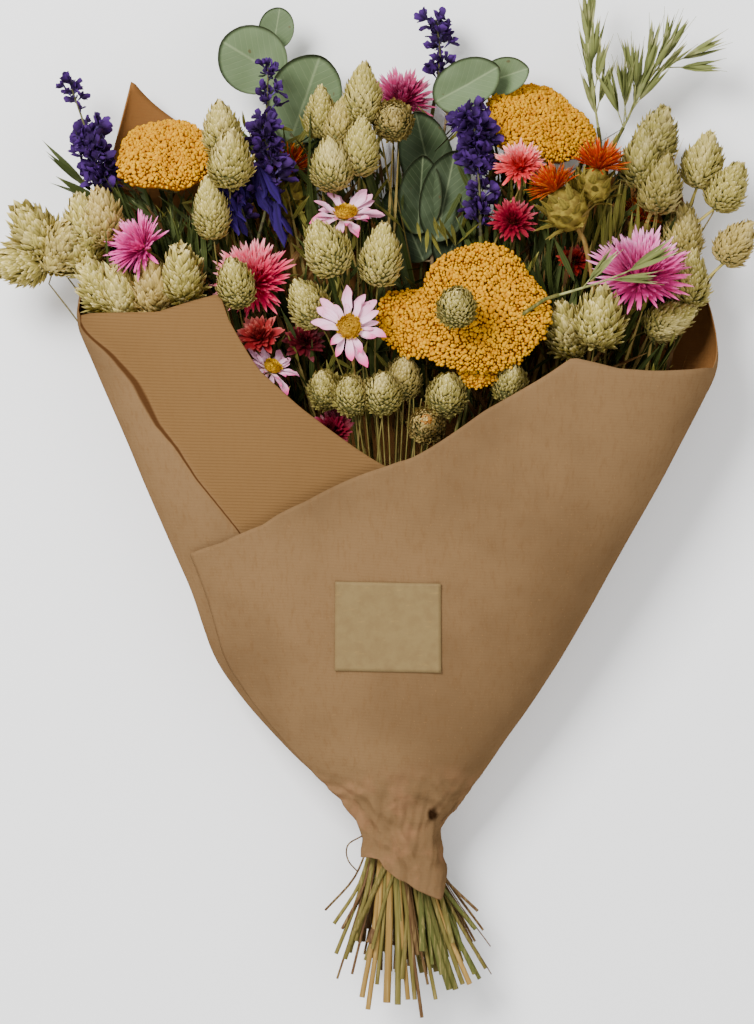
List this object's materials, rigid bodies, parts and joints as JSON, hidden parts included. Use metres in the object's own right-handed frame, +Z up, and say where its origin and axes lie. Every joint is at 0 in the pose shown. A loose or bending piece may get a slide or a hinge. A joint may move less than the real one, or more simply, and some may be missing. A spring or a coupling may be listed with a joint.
{
  "type": "dried flower bouquet",
  "caption": "Mixed bunch of dried flowers and grasses rolled in a cone of brown kraft paper with a bare label, tied at the neck, lying on its back.",
  "frame": {"origin": "middle of the flat part of the paper's back, where the bunch rests on the table", "axes": "+Y from the cut stems to the flowers, +X to the right as seen from above, +Z up, away from the table"},
  "size_m": [0.4185, 0.5672, 0.1292],
  "materials": {
    "kraft_paper": "brown kraft paper, fine ribs, soft creases",
    "label_paper": "bare olive-beige paper label",
    "twine": "thin jute twine",
    "dried_stems": "dry straw and olive plant stems",
    "canary_grass": "dry pale olive grass scales",
    "yarrow": "matte golden granular florets",
    "daisy_petals": "papery pale pink petals",
    "daisy_disc": "granular yellow disc florets",
    "strawflower_pink": "papery pink bracts",
    "strawflower_crimson": "papery crimson bracts",
    "strawflower_red": "glossy dark red bracts",
    "safflower_bulb": "dry yellow-green leafy bracts",
    "safflower_tuft": "orange bristly florets",
    "larkspur": "matte deep violet petals",
    "eucalyptus": "waxy sage-green leaves",
    "oats": "dry green-grey husks",
    "foliage": "dry dark green leaves"
  },
  "bodies": {
    "root": {"canary_grass_centre_lower": "canary_grass", "canary_grass_centre_right": "canary_grass", "canary_grass_centre_upper": "canary_grass", "canary_grass_far_left": "canary_grass", "canary_grass_front_low": "canary_grass", "canary_grass_front_right": "canary_grass", "canary_grass_left_lower": "canary_grass", "canary_grass_left_upper": "canary_grass", "canary_grass_on_yarrow": "canary_grass", "canary_grass_right_edge": "canary_grass", "canary_grass_right_front": "canary_grass", "canary_grass_right_upper": "canary_grass", "canary_grass_top_left": "canary_grass", "canary_grass_top_middle": "canary_grass", "canary_grass_under_yarrow": "canary_grass", "daisy_lower_disc": "daisy_disc", "daisy_lower_petals": "daisy_petals", "daisy_middle_disc": "daisy_disc", "daisy_middle_petals": "daisy_petals", "daisy_upper_disc": "daisy_disc", "daisy_upper_petals": "daisy_petals", "eucalyptus_left": "eucalyptus", "eucalyptus_right": "eucalyptus", "foliage_left": "foliage", "foliage_right": "foliage", "label": "label_paper", "larkspur_centre": "larkspur", "larkspur_far_left": "larkspur", "larkspur_left_pair": "larkspur", "larkspur_top": "larkspur", "oats_front": "oats", "oats_right": "oats", "oats_top": "oats", "safflower_left_bulb": "safflower_bulb", "safflower_left_tuft": "safflower_tuft", "safflower_pair_bulbs": "safflower_bulb", "safflower_pair_left_tuft": "safflower_tuft", "safflower_pair_right_tuft": "safflower_tuft", "safflower_right_bulb": "safflower_bulb", "safflower_right_tuft": "safflower_tuft", "stems": "dried_stems", "strawflower_coral_top": "strawflower_pink", "strawflower_crimson_low": "strawflower_crimson", "strawflower_crimson_right": "strawflower_crimson", "strawflower_crimson_top": "strawflower_crimson", "strawflower_magenta_right": "strawflower_pink", "strawflower_pink_crimson": "strawflower_pink", "strawflower_pink_left": "strawflower_pink", "strawflower_red_left": "strawflower_red", "strawflower_red_right": "strawflower_red", "strawflower_red_shaded": "strawflower_red", "twine": "twine", "wrapper": "kraft_paper", "yarrow_front": "yarrow", "yarrow_top_left": "yarrow", "yarrow_top_right": "yarrow"}
  },
  "joints": []
}
